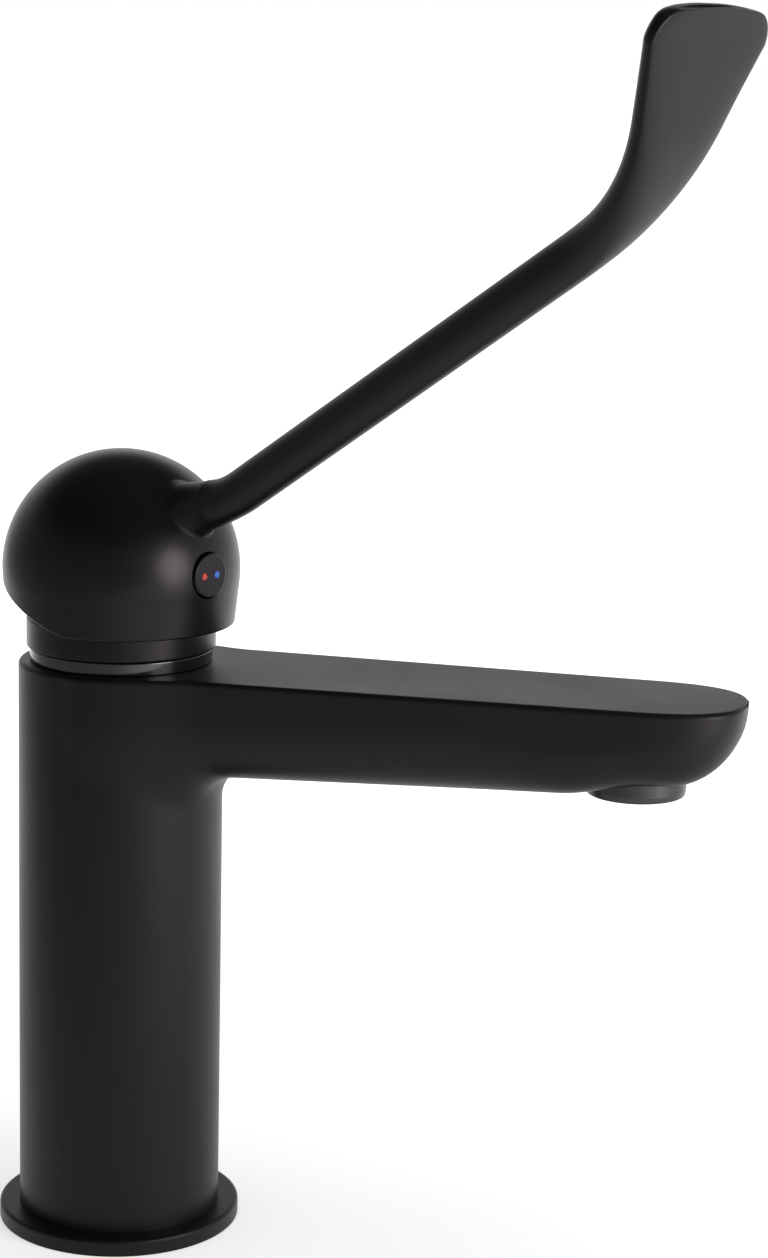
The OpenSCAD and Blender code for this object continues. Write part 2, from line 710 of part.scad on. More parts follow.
function arm_pitch_at(s) = s < bend_1 ? arm_root_pitch
    : s < straight_1 ? bend_pitch(arm_bend_r, arm_root_pitch, s - bend_1)
    : s < bend_2 ? arm_pitch
    : s < straight_2 ? bend_pitch(paddle_bend_r, arm_pitch, s - bend_2)
    : paddle_pitch;

function arm_point(s) = s < bend_1
    ? [0, dome_z] + dome_r * heading(arm_dome_angle) + s * heading(arm_root_pitch)
    : s < straight_1 ? arm_point(bend_1 - 1e-6) + bend_step(arm_bend_r, arm_root_pitch, arm_pitch_at(s))
    : s < bend_2 ? arm_point(straight_1 - 1e-6) + (s - straight_1) * heading(arm_pitch)
    : s < straight_2 ? arm_point(bend_2 - 1e-6) + bend_step(paddle_bend_r, arm_pitch, arm_pitch_at(s))
    : arm_point(straight_2 - 1e-6) + (s - straight_2) * heading(paddle_pitch);

// Shares of the way through the root's flare and the paddle's widening.
widen_l = 6.7;
widen_start = bend_2 - widen_l;
widen_end = arm_end - paddle_corner_r;
ease = 0.21;
function flare_at(s) = pow(max(0, min(1, 1 - s / arm_flare_l)), 2);
function spread_at(s) = let (u = max(0, min(1, (s - widen_start) / (widen_end - widen_start))))
    u * u * (1 + ease) / (u + ease);
function round_at(s, r) = let (left = max(0, min(r, arm_end - s))) r - sqrt(r * r - (r - left) * (r - left));

function half_width(s) = arm_r + (arm_root_r - arm_r) * flare_at(s) + (paddle_w / 2 - arm_r) * spread_at(s)
    - round_at(s, paddle_corner_r);
function half_thick(s) = arm_r + (arm_root_r - arm_r) * flare_at(s) + (paddle_t / 2 - arm_r) * spread_at(s)
    - round_at(s, paddle_t / 3);

// One cross section of the arm, square to its centre line. The paddle's end bulges in the middle.
arm_sides = 28;
paddle_square = 0.25;
function squareness(s) = 1 - paddle_square * spread_at(s);
function power(value, exponent) = sign(value) * pow(abs(value), exponent);
function arm_ring(s) = let (p = arm_point(s), pitch = arm_pitch_at(s)) [
    for (i = [0:arm_sides - 1])
        let (
            turn = 360 * (i + 0.5) / arm_sides,
            across = half_width(s) * power(cos(turn), squareness(s)),
            up = half_thick(s) * power(sin(turn), squareness(s)),
            back = paddle_bulge * pow(2 * across / paddle_w, 2) * pow(spread_at(s), 3),
            q = p + up * heading(pitch + 90) - back * heading(pitch)
        ) [q.x, across, q.y]
];

// A ring about the arm's root, from the dome's surface at share 0 to the first bend at share 1.
function root_s(across, up) = let (
    start = arm_point(0) + up * heading(arm_root_pitch + 90) - [0, dome_z],
    toward = start * heading(arm_root_pitch),
    seat_r = dome_r + fit_gap
) sqrt(seat_r * seat_r - start * start - across * across + toward * toward) - toward;
function root_ring(r, share) = [
    for (i = [0:arm_sides - 1])
        let (
            turn = 360 * (i + 0.5) / arm_sides,
            across = r * cos(turn),
            up = r * sin(turn),
            s = (1 - share) * root_s(across, up) + share * arm_root_l,
            q = arm_point(0) + s * heading(arm_root_pitch) + up * heading(arm_root_pitch + 90)
        ) [q.x, across, q.y]
];
function root_r(share) = arm_root_r + (half_width(arm_root_l) - arm_root_r) * share * (2 - share);

// The spigot and the seat on the dome, then the root, the arm and the paddle.
spigot_rings = [
    [for (p = root_ring(arm_spigot_r, 0)) let (
        q = arm_point(0) - (arm_spigot_l - fit_gap) * heading(arm_root_pitch),
        up = ([p.x, p.z] - arm_point(0)) * heading(arm_root_pitch + 90)
    ) [q.x + up * heading(arm_root_pitch + 90).x, p.y, q.y + up * heading(arm_root_pitch + 90).y]],
    for (u = [0:0.5:1]) root_ring(arm_spigot_r + u * (arm_root_r - arm_spigot_r), 0)
];
root_rings = [for (share = [0.2:0.2:0.8]) root_ring(root_r(share), share)];

// Where the other sections lie: close together where the arm bends or changes its width.
arm_stops = concat(
    [for (u = [0:0.125:1]) bend_1 + u * (max(arm_flare_l, straight_1) + 1 - bend_1)],
    [for (u = [0:0.1:1]) widen_start + u * (straight_2 - widen_start)],
    [for (u = [0.2:0.2:1]) straight_2 + u * (arm_end - paddle_corner_r - straight_2)],
    [for (turn = [15:15:90]) arm_end - paddle_corner_r * (1 - sin(turn))]
);

module lever_arm() color(finish) on_lever()
    loft(concat(spigot_rings, root_rings, [for (s = arm_stops) arm_ring(s)]));

module grub_screw() color("dimgray") on_lever() along([stem_half + fit_gap, cap_z], 0) difference() {
    cylinder(r = grub_r, h = grub_l);
    translate([0, 0, grub_l / 2]) cylinder(r = grub_r / 2, h = grub_l, $fn = 6);
}

// The marks lie side by side in the cap's face, hot towards -Y.
module mark_place(side) along([cap_face_x - mark_t, cap_z], 0)
    translate([0, side * mark_pitch / 2, 0]) children();

module indicator_cap() color(finish) on_lever() difference() {
    union() {
        along([cap_face_x - cap_t, cap_z], 0) cylinder(r = cap_r, h = cap_t);
        along([cap_face_x - 2 * cap_t, cap_z], 0) cylinder(r = grub_r, h = cap_t + past);
    }
    for (side = [-1, 1]) mark_place(side) cylinder(r = mark_r + fit_gap / 2, h = cap_t, $fn = 32);
}

module hot_mark() color("red") on_lever() mark_place(-1) cylinder(r = mark_r, h = mark_t, $fn = 32);

module cold_mark() color("dodgerblue") on_lever() mark_place(1) cylinder(r = mark_r, h = mark_t, $fn = 32);

module fixing_stud() color("silver") translate([-stud_x, 0, stud_nut_z - stud_end])
    cylinder(r = stud_r, h = skirt_h + stud_depth - stud_nut_z + stud_end);

// The clamp is a horseshoe: its slot lets the supply pipes through, and its back takes the stud.
module horseshoe(outer, low, thick) translate([0, 0, low]) difference() {
    cylinder(r = outer, h = thick);
    translate([clamp_slot_x, 0, -past]) cylinder(r = clamp_slot_r, h = thick + 2 * past);
    translate([clamp_slot_x, -clamp_slot_r, -past]) cube([outer, 2 * clamp_slot_r, thick + 2 * past]);
    translate([-stud_x, 0, -past]) cylinder(r = stud_r + free_gap, h = thick + 2 * past);
}

module clamp_gasket() color("black") horseshoe(clamp_r, clamp_z, clamp_gasket_t);

module clamp_plate() color("silver") horseshoe(clamp_r, plate_z, clamp_plate_t);

module stud_nut() color("goldenrod") translate([-stud_x, 0, stud_nut_z]) difference() {
    cylinder(r = stud_nut_r, h = stud_nut_h, $fn = 6);
    translate([0, 0, -past]) cylinder(r = stud_r + fit_gap, h = stud_nut_h + 2 * past);
}

base_ring();
base_seal();
body();
aerator_housing();
aerator_insert();
aerator_screen();
aerator_washer();
cartridge_base();
inlet_seals();
disc_gasket();
fixed_disc();
moving_disc();
disc_carrier();
cartridge_housing();
housing_seal();
rotor();
stem_pin();
stem();
cartridge_nut();
trim_ring();
cover_collar();
lever_head();
lever_arm();
grub_screw();
indicator_cap();
hot_mark();
cold_mark();
fixing_stud();
clamp_gasket();
clamp_plate();
stud_nut();
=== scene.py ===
"""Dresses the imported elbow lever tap: smooth skins for what shows, black paint, a studio and the camera."""
import json
import math

import bpy
import numpy as np
from mathutils import Matrix, Quaternion, Vector


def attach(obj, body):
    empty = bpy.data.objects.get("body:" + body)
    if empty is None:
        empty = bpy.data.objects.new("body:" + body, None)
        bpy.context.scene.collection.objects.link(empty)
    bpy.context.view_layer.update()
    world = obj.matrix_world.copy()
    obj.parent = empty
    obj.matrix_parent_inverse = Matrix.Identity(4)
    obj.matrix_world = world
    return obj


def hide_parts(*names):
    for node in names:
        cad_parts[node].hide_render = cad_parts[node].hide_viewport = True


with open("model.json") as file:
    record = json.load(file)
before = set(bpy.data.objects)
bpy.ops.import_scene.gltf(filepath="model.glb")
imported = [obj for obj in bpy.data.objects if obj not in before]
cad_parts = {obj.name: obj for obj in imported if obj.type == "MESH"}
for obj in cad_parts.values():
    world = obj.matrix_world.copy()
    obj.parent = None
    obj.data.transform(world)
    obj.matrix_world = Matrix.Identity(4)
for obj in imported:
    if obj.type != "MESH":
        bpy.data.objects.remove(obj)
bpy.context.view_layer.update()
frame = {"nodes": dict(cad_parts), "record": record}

MM = 0.001
TURN = math.radians(-25)          # the lever's turn about the column, at rest

# Sizes in millimetres: the CAD model's own, and those of the finer forms that only the skins have
COLUMN_R, COLUMN_H, RIM = 23.0, 131.8, 1.1
SKIRT_R, SKIRT_H = 17.5, 52.0
CHAMBER_R, SEAT_Z, NUT_R, NUT_Z = 17.8, 96.8, 19.0, 124.3
SPIGOT_R, SPIGOT_Z = 20.0, 1.3
BASE_R, BASE_T, BASE_BORE = 27.6, 3.8, 20.05
TRIM_R, TRIM_BORE, TRIM_H = 20.5, 19.0, 3.0
COLLAR_R, COLLAR_BORE, COLLAR_Z, COLLAR_TOP, COLLAR_LIP = 21.2, 19.0, 134.9, 141.8, 140.9
COLLAR_DOME, COLLAR_UNDER, COLLAR_HOLE = 22.0, 20.8, 12.6
REACH, NOSE, FULL = 117.5, 23.5, 2.6
ROOT_W, TIP_W, ROOT_H, TIP_H = 39.4, 34.4, 24.3, 20.7
CORNER_W, CORNER_H, BOW_R, FILLET = 11.5, 15.0, 15.4, 8.0
CORNER_SHARE_W, CORNER_SHARE_H, CORNER_BLEND = 0.94, 0.9, 1.5
RISE, RISE_START, RISE_END = 2.4, 102.5, 122.0
TIP_CORNER_W, TIP_CORNER_H, TIP_LIFT, TIP_START, TIP_END = 7.0, 10.0, 0.9, 80.0, 110.0
LOW_ROOT = COLUMN_H - ROOT_H
SLOPE = math.atan((ROOT_H - TIP_H) / REACH)
AERATOR_R, AERATOR_Z, AERATOR_SEAT, AERATOR_GAP, AERATOR_CUT_Z = 11.0, 110.2, 9.8, 0.05, 100
PIVOT_Z = 126.05
DOME_R, DOME_Z, HEAD_Z, HEAD_WALL = 26.5, 152.6, 140.5, 2.8
CUT_X, CUT_TAN, CUT_BLEND = 5.5, math.tan(math.radians(21)), 1.2
BOSS_R, BOSS_LOW, BOSS_TOP = 7.6, 148.6, 177.0
CAP_Z, CAP_FACE, CAP_R, CAP_T, CAP_GAP = 154.0, 26.8, 5.0, 2.4, 0.22
DOT_R, DOT_HOLE_R, DOT_Y, DOT_DEPTH = 0.8, 0.83, 2.0, 0.4
OVERCUT = 2                       # how far a cut reaches past an open end


# Mesh helpers

def make(name, points, faces):
    """An object from points in millimetres."""
    mesh = bpy.data.meshes.new(name)
    mesh.from_pydata((np.round(np.asarray(points, float), 5) * MM).tolist(), [], faces)
    mesh.update()
    mesh.shade_smooth()
    obj = bpy.data.objects.new(name, mesh)
    bpy.context.scene.collection.objects.link(obj)
    return obj


def strip(rows, cols):
    """Quads between rows of points that each close on themselves."""
    return [
        (k * cols + i, k * cols + (i + 1) % cols, (k + 1) * cols + (i + 1) % cols, (k + 1) * cols + i)
        for k in range(rows - 1) for i in range(cols)
    ]


def rounded(corners, steps=6, near=0.25, closed=False):
    """A path through (r, z, radius) corners, with an arc at each corner that has a radius."""
    path = []
    for i, (r, z, radius) in enumerate(corners):
        p = np.array([r, z], float)
        if radius == 0 or (not closed and i in (0, len(corners) - 1)):
            path.append(p)
            continue
        a, b = np.array(corners[i - 1][:2]), np.array(corners[(i + 1) % len(corners)][:2])
        u, v = (a - p) / np.linalg.norm(a - p), (b - p) / np.linalg.norm(b - p)
        half = math.acos(np.clip(u @ v, -1, 1)) / 2
        reach = radius / math.tan(half)
        centre = p + (u + v) / np.linalg.norm(u + v) * radius / math.sin(half)
        start, end = p + u * reach - centre, p + v * reach - centre
        span = math.acos(np.clip(start @ end / radius ** 2, -1, 1))
        path.append(p + u * (reach + near * radius))
        for s in np.linspace(0, 1, steps + 1):
            arc = (math.sin((1 - s) * span) * start + math.sin(s * span) * end) / math.sin(span)
            path.append(centre + arc)
        path.append(p + v * (reach + near * radius))
    return np.array(path)


def revolve(path, n=160, closed=False):
    """Points and faces of a path of (r, z) turned about Z. An open path starts and ends on the axis."""
    turns = np.linspace(0, 2 * math.pi, n, endpoint=False)
    body = path if closed else path[1:-1]
    points = np.array([(r * math.cos(t), r * math.sin(t), z) for r, z in body for t in turns])
    faces = strip(len(body), n)
    if closed:
        last = (len(body) - 1) * n
        faces += [(last + i, last + (i + 1) % n, (i + 1) % n, i) for i in range(n)]
        return points, faces
    first, second = len(points), len(points) + 1
    last = (len(body) - 1) * n
    points = np.vstack([points, [(0, 0, path[0][1]), (0, 0, path[-1][1])]])
    faces += [(first, (i + 1) % n, i) for i in range(n)]
    faces += [(second, last + i, last + (i + 1) % n) for i in range(n)]
    return points, faces


def outward(obj):
    """Turns the faces of a closed mesh outwards."""
    mesh = obj.data
    co = np.array([v.co for v in mesh.vertices])
    mesh.calc_loop_triangles()
    tris = np.array([t.vertices for t in mesh.loop_triangles])
    a, b, c = co[tris[:, 0]], co[tris[:, 1]], co[tris[:, 2]]
    volume = float(np.einsum("ij,ij->i", a, np.cross(b, c)).sum())
    if volume < 0:
        mesh.flip_normals()
    return obj


def turned(name, path, n):
    """A closed piece from a path of (r, z) that starts and ends on the axis."""
    return outward(make(name, *revolve(np.array(path, float), n)))


def cylinder(name, r, z0, z1, n):
    return turned(name, [(0, z0), (r, z0), (r, z1), (0, z1)], n)


def place(obj, turn=0.0, shift=(0, 0, 0), tilt=None):
    """Moves a mesh's own points, so that the object itself stays at the origin."""
    m = Matrix.Translation(Vector(shift) * MM)
    if tilt is not None:
        m = m @ tilt
    obj.data.transform(Matrix.Rotation(turn, 4, "Z") @ m)
    return obj


def boolean(obj, other, operation):
    """Applies a boolean and removes the other object."""
    mod = obj.modifiers.new("cut", "BOOLEAN")
    mod.operation, mod.solver, mod.object = operation, "MANIFOLD", other
    dg = bpy.context.evaluated_depsgraph_get()
    mesh = bpy.data.meshes.new_from_object(obj.evaluated_get(dg), depsgraph=dg)
    obj.modifiers.clear()
    old, obj.data = obj.data, mesh
    mesh.name = obj.name
    bpy.data.meshes.remove(old)
    bpy.data.objects.remove(other, do_unlink=True)
    return obj


def by_angle(obj, degrees=35):
    """Smooth shading with sharp edges above an angle."""
    mesh = obj.data
    mesh.shade_smooth()
    mesh.set_sharp_from_angle(angle=math.radians(degrees))
    return obj


def true_normals(obj, field_normal, limit=0.75):
    """Gives corners on a known surface that surface's own normal; the function takes millimetres."""
    mesh = obj.data
    co = np.zeros(len(mesh.vertices) * 3)
    mesh.vertices.foreach_get("co", co)
    normal, known = field_normal(co.reshape(-1, 3) / MM)
    corner = np.zeros(len(mesh.loops) * 3)
    mesh.corner_normals.foreach_get("vector", corner)
    corner = corner.reshape(-1, 3)
    vertex = np.zeros(len(mesh.loops), int)
    mesh.loops.foreach_get("vertex_index", vertex)
    face = np.zeros(len(mesh.polygons) * 3)
    mesh.polygons.foreach_get("normal", face)
    total = np.zeros(len(mesh.polygons), int)
    mesh.polygons.foreach_get("loop_total", total)
    face = np.repeat(face.reshape(-1, 3), total, axis=0)
    use = known[vertex] & (np.einsum("ij,ij->i", face, normal[vertex]) > limit)
    corner[use] = normal[vertex][use]
    mesh.normals_split_custom_set(corner.tolist())
    return obj


# The body: column and spout in one casting

def smooth_min(a, b, k):
    """The lesser of two values, blended where they are closer than k."""
    h = np.clip(0.5 + 0.5 * (b - a) / k, 0, 1)
    return b + (a - b) * h - k * h * (1 - h)


def ease(x, start, end):
    """Rises smoothly from 0 to 1 between two places."""
    u = np.clip((x - start) / (end - start), 0, 1)
    return u * u * (3 - 2 * u)


def half_w(x):
    """Half width of the spout; its nose is fuller than an ellipse in plan."""
    line = (ROOT_W + (TIP_W - ROOT_W) * x / REACH) / 2
    t = np.clip((x - REACH) / NOSE, 0, 1)
    return line * (1 - t ** FULL) ** (1 / FULL)


BOW_X = REACH + NOSE - BOW_R
BOW_START = BOW_X + BOW_R * math.sin(SLOPE)
BOW_Z = LOW_ROOT + BOW_START * math.tan(SLOPE) + RISE + TIP_LIFT + BOW_R * math.cos(SLOPE)


def low(x):
    """Bottom of the spout; it steps up softly at the outlet and rises round the nose."""
    bow = BOW_Z - np.sqrt(np.maximum(BOW_R ** 2 - (np.maximum(x, BOW_X) - BOW_X) ** 2, 0))
    rise = RISE * ease(x, RISE_START, RISE_END) + TIP_LIFT * ease(x, TIP_START, TIP_END)
    return np.where(x < BOW_START, LOW_ROOT + x * math.tan(SLOPE) + rise, bow)


def spout_ring(x):
    """One closed section of the spout, with a round upper edge that follows the plan's own normal."""
    w, z0 = float(half_w(x)), float(low(x))
    t = max(0.0, (x - REACH) / NOSE)
    slope = (TIP_W - ROOT_W) / 2 / REACH
    nx, ny = t ** (FULL - 1) / NOSE, (1 - t ** FULL) ** (1 - 1 / FULL) / (TIP_W / 2)
    nx += -slope * ny
    nx, ny = nx / math.hypot(nx, ny), ny / math.hypot(nx, ny)
    tip = float(ease(x, TIP_START, TIP_END))
    rw, rh = CORNER_W + (TIP_CORNER_W - CORNER_W) * tip, CORNER_H + (TIP_CORNER_H - CORNER_H) * tip
    rw = float(smooth_min(rw, CORNER_SHARE_W * w, CORNER_BLEND))
    rh = float(smooth_min(rh, CORNER_SHARE_H * (COLUMN_H - z0), CORNER_BLEND))
    side = []
    inset_x, inset_y = x - nx * RIM, w - ny * RIM
    for share in (0.0, 0.3, 0.6, 0.85, 0.97):
        side.append((inset_x, inset_y * share, COLUMN_H))
    for turn in np.linspace(0, math.pi / 2, 8):
        inset = RIM * (1 - math.sin(turn))
        side.append((x - nx * inset, w - ny * inset, COLUMN_H - RIM * (1 - math.cos(turn))))
    wall = COLUMN_H - RIM - (z0 + rh)
    for share in (0.03, 0.08, 0.16, 0.25, 0.35, 0.5, 0.65, 0.8, 0.93):
        side.append((x, w, COLUMN_H - RIM - wall * share))
    for turn in np.linspace(0, math.pi / 2, 22):
        side.append((x, w - rw + rw * math.cos(turn), z0 + rh - rh * math.sin(turn)))
    for share in (0.6, 0.25):
        side.append((x, (w - rw) * share, z0))
    far = [(px, -py, pz) for px, py, pz in side[:0:-1]]
    return side + [(x, 0, z0)] + far


def wall_fields(p):
    """Distances from the walls of column and spout: as they cross, and with the fillet between them."""
    x, y, z = p.T
    column = np.hypot(x, y) - COLUMN_R
    qy, qz = np.abs(y) - (half_w(x) - CORNER_W), low(x) + CORNER_H - z
    k = np.hypot(qy / CORNER_W, qz / CORNER_H)
    corner = (k - 1) * k / np.maximum(np.hypot(qy / CORNER_W ** 2, qz / CORNER_H ** 2), 1e-9)
    spout = np.where((qy > 0) & (qz > 0), corner, np.maximum(qy - CORNER_W, qz - CORNER_H))
    spout = np.where((spout > 0) & (x < 0), np.hypot(spout, x), np.maximum(spout, -x))
    u, v = np.maximum(FILLET - column, 0), np.maximum(FILLET - spout, 0)
    plain = np.minimum(column, spout)
    return plain, np.maximum(FILLET, plain) - np.hypot(u, v)


def body_field(p):
    """Below zero inside the body near its root, where a fillet joins column and spout under a flat top."""
    side, top = wall_fields(p)[1], p[:, 2] - COLUMN_H
    u, v = np.maximum(RIM + side, 0), np.maximum(RIM + top, 0)
    return np.minimum(-RIM, np.maximum(side, top)) + np.hypot(u, v)


def gradient(field, p, h=0.002):
    return np.stack([field(p + h * e) - field(p - h * e) for e in np.eye(3)], 1) / (2 * h)


def body_normal(p):
    g = gradient(body_field, p)
    return g / np.maximum(np.linalg.norm(g, axis=1, keepdims=True), 1e-9)


ROOT_Z, ROOT_BACK, ROOT_FRONT = 90.0, -10.0, 48.0     # where the spout's root lies
UPRIGHT_Z = 121.0                                     # above this the root's walls stand upright


def near_root(co):
    return (co[:, 2] > ROOT_Z) & (co[:, 0] < ROOT_FRONT)


def fill_root(co):
    """Moves the points of the walls and of their upper edges out to the fillet at the spout's root."""
    plain, side = wall_fields(co)
    on_wall = (plain > -RIM - 0.03) & (np.abs(side - plain) > 0.01)
    moved = near_root(co) & (co[:, 0] > ROOT_BACK) & on_wall
    p, goal = co[moved], plain[moved]
    for _ in range(16):
        g = gradient(lambda q: wall_fields(q)[1], p)
        g[p[:, 2] > UPRIGHT_Z, 2] = 0
        step = np.clip(wall_fields(p)[1] - goal, -1, 1) / np.maximum((g * g).sum(1), 0.1)
        p = p - step[:, None] * g
    co[moved] = p
    return co


def build_body(near=0.02):
    levels = np.concatenate([np.arange(BASE_T + 6, 92, 8.0), np.arange(93, COLUMN_H - 1.2, 1.0)])
    top = COLUMN_H - 0.02          # a hair under the spout's flat top, so that the two faces never coincide
    rim = rounded([(COLUMN_R, levels[-1], 0), (COLUMN_R, top, RIM), (0, top, 0)])
    path = [(0, SPIGOT_Z), (SPIGOT_R, SPIGOT_Z), (SPIGOT_R, BASE_T)]
    path += [(COLUMN_R, BASE_T), (COLUMN_R, BASE_T + 0.3)]
    path += [(COLUMN_R, z) for z in levels] + [tuple(q) for q in rim[1:]]
    body = turned("body_skin", path, 192)

    xs = list(np.arange(2, ROOT_FRONT, 1.0)) + list(np.linspace(ROOT_FRONT, TIP_START - 2, 6))
    xs += list(np.linspace(TIP_START, REACH, 24)[:-1])
    xs += [REACH + NOSE * math.sin(math.radians(t)) for t in np.linspace(0, 84, 26)]
    xs += [REACH + NOSE * math.sin(math.radians(t)) for t in (86, 87.6, 88.8)]
    rings = [spout_ring(x) for x in xs]
    n = len(rings[0])
    last, under = (len(rings) - 1) * n, n // 2 - 4
    tip = [[(j - 6) % n for j in range(13)], list(range(under, n - under + 1))]
    tip += [[i, i + 1, n - i - 1, n - i] for i in range(6, under)]
    faces = strip(len(rings), n) + [tuple(range(n))[::-1]] + [tuple(last + j for j in face) for face in tip]
    spout = outward(make("spout", [q for r in rings for q in r], faces))
    boolean(body, spout, "UNION")

    chamber = [(0, SEAT_Z), (CHAMBER_R, SEAT_Z), (CHAMBER_R, NUT_Z), (NUT_R, NUT_Z)]
    chamber += [(NUT_R, COLUMN_H + OVERCUT), (0, COLUMN_H + OVERCUT)]
    boolean(body, turned("bore", chamber, 96), "DIFFERENCE")
    boolean(body, cylinder("bore", SKIRT_R, SPIGOT_Z - OVERCUT, SKIRT_H, 96), "DIFFERENCE")
    seat = cylinder("bore", AERATOR_R + AERATOR_GAP, AERATOR_CUT_Z, AERATOR_Z + AERATOR_SEAT, 96)
    boolean(body, place(seat, shift=(REACH, 0, 0)), "DIFFERENCE")

    mesh = body.data
    co = np.zeros(len(mesh.vertices) * 3)
    mesh.vertices.foreach_get("co", co)
    co = co.reshape(-1, 3) / MM
    fill_root(co)
    mesh.vertices.foreach_set("co", (co * MM).ravel())
    mesh.update()
    by_angle(body)

    def skin(q):
        return body_normal(q), near_root(q) & (np.abs(body_field(q)) < near)
    return true_normals(body, skin)


# Turned pieces

def ring_piece(name, corners, n=192, steps=5):
    return outward(make(name, *revolve(rounded(corners, steps, closed=True), n, closed=True)))


def build_base_ring():
    corners = [(BASE_BORE, 0, 0.2), (BASE_R, 0, 0.3), (BASE_R, BASE_T, 0.8), (BASE_BORE, BASE_T, 0.2)]
    return ring_piece("base_ring_skin", corners)


def build_trim_ring():
    low_z, high_z = COLUMN_H, COLUMN_H + TRIM_H
    corners = [(TRIM_BORE, low_z, 0.1), (TRIM_R, low_z, 0.25)]
    corners += [(TRIM_R, high_z, 0.35), (TRIM_BORE, high_z, 0.1)]
    return ring_piece("trim_ring_skin", corners)


def arc_about_pivot(r, start, end):
    return [(r * math.cos(a), PIVOT_Z + r * math.sin(a)) for a in np.linspace(start, end, 10)]


def build_collar():
    start = math.asin((COLLAR_TOP - PIVOT_Z) / COLLAR_DOME) + 0.02
    dome = arc_about_pivot(COLLAR_DOME, start, math.acos(COLLAR_HOLE / COLLAR_DOME))
    end = math.asin((COLLAR_LIP - PIVOT_Z) / COLLAR_UNDER)
    under = arc_about_pivot(COLLAR_UNDER, math.acos(COLLAR_HOLE / COLLAR_UNDER), end)
    corners = [(COLLAR_BORE, COLLAR_Z, 0.1), (COLLAR_R, COLLAR_Z, 0.45)]
    corners += [(COLLAR_R, COLLAR_TOP, 0.6), (dome[0][0] + 0.3, COLLAR_TOP, 0.25)]
    corners += [(r, z, 0) for r, z in dome + under] + [(COLLAR_BORE, COLLAR_LIP, 0.1)]
    return by_angle(ring_piece("cover_collar_skin", corners), 50)


def build_aerator():
    throat, bore, thread = 7.6, 8.5, 10.3
    z = AERATOR_Z
    corners = [
        (throat, z + 1.4, 0.2), (8.9, z + 0.05, 0.3), (10.75, z, 0.45), (AERATOR_R, z + 1.4, 0.3),
        (AERATOR_R, z + 5.2, 0.2), (thread, z + 5.3, 0.1), (thread, z + 8.6, 0.2), (bore, z + 8.6, 0.1),
        (bore, z + 2.0, 0.1), (throat, z + 2.0, 0.1),
    ]
    obj = by_angle(ring_piece("aerator_ring_skin", corners, 128, 4), 50)
    return place(obj, shift=(REACH, 0, 0))


# The lever's head

CONE = math.radians(6.3)


def head_path(wall):
    """Radius and height on the head's skin, by the length from its top down the dome and then the cone."""
    r = DOME_R - wall
    edge = (r * math.cos(CONE), DOME_Z - r * math.sin(CONE))

    def at(s):
        arc = r * (math.pi / 2 + CONE)
        if s < arc:
            a = math.pi / 2 - s / r
            return r * math.cos(a), DOME_Z + r * math.sin(a)
        return edge[0] - (s - arc) * math.sin(CONE), edge[1] - (s - arc) * math.cos(CONE)
    return at


def cut_level(x):
    """Height of the head's lower edge: level in front, rising towards the back."""
    rise = (CUT_X - x) * CUT_TAN
    return HEAD_Z + float(-smooth_min(-rise, 0.0, CUT_BLEND))


def edge_length(path, cosine):
    """How far down a path the head's lower edge lies, in the direction with this cosine."""
    a, b = 10.0, 70.0              # lengths above and below the edge in every direction
    for _ in range(40):
        m = (a + b) / 2
        r, z = path(m)
        a, b = (m, b) if z > cut_level(r * cosine) else (a, m)
    return a


def build_head(columns=256, rows=64, keep=3.4, near=0.03):
    outer, inner = head_path(0), head_path(HEAD_WALL)
    rings = []
    for k in range(columns):
        turn = 2 * math.pi * k / columns
        cosine = math.cos(turn)
        so, si = edge_length(outer, cosine), edge_length(inner, cosine)
        out_round, in_round = 0.6, 0.3
        path = [outer(s) for s in np.linspace(0, so - keep, rows)]
        lower = [(*path[-1], 0), (*outer(so), out_round), (*inner(si), in_round), (*inner(si - keep / 2), 0)]
        path += [tuple(q) for q in rounded(lower, 7)[1:]]
        path += [inner(s) for s in np.linspace(si - keep / 2, 0, rows // 2)[1:]]
        rings.append([(r * cosine, r * math.sin(turn), z) for r, z in path])
    m = len(rings[0])
    points = [rings[k][i] for i in range(1, m - 1) for k in range(columns)]
    faces = strip(m - 2, columns)
    first, second = len(points), len(points) + 1
    last = (m - 3) * columns
    points += [rings[0][0], rings[0][-1]]
    faces += [(first, (i + 1) % columns, i) for i in range(columns)]
    faces += [(second, last + i, last + (i + 1) % columns) for i in range(columns)]
    head = outward(make("lever_head_skin", points, faces))
    boolean(head, cylinder("boss", BOSS_R, BOSS_LOW, BOSS_TOP, 64), "UNION")
    recess_r, depth = CAP_R + CAP_GAP, 8
    recess_path = rounded([(0, 0, 0), (recess_r, 0, 0.1), (recess_r, depth, 0.1), (0, depth, 0)], 2)
    recess = turned("recess", recess_path, 96)
    place(recess, shift=(CAP_FACE - CAP_T, 0, CAP_Z), tilt=Matrix.Rotation(math.pi / 2, 4, "Y"))
    boolean(head, recess, "DIFFERENCE")
    by_angle(head)

    def skin(q):
        x, y, z = q.T
        r = np.hypot(x, y)
        d = np.stack([x, y, z - DOME_Z], 1)
        length = np.linalg.norm(d, axis=1, keepdims=True)
        ball = d / np.maximum(length, 1e-9)
        cosine, sine, safe_r = math.cos(CONE), math.sin(CONE), np.maximum(r, 1e-9)
        cone = np.stack([x / safe_r * cosine, y / safe_r * cosine, np.full(len(q), -sine)], 1)
        on_ball = np.abs(length[:, 0] - DOME_R) < near
        start_r, start_z = DOME_R * cosine, DOME_Z - DOME_R * sine
        on_cone = (z < start_z) & (np.abs((r - start_r) * cosine - (z - start_z) * sine) < near)
        return np.where(on_ball[:, None], ball, cone), on_ball | on_cone
    true_normals(head, skin)
    return place(head, turn=TURN)


# The arm and its paddle

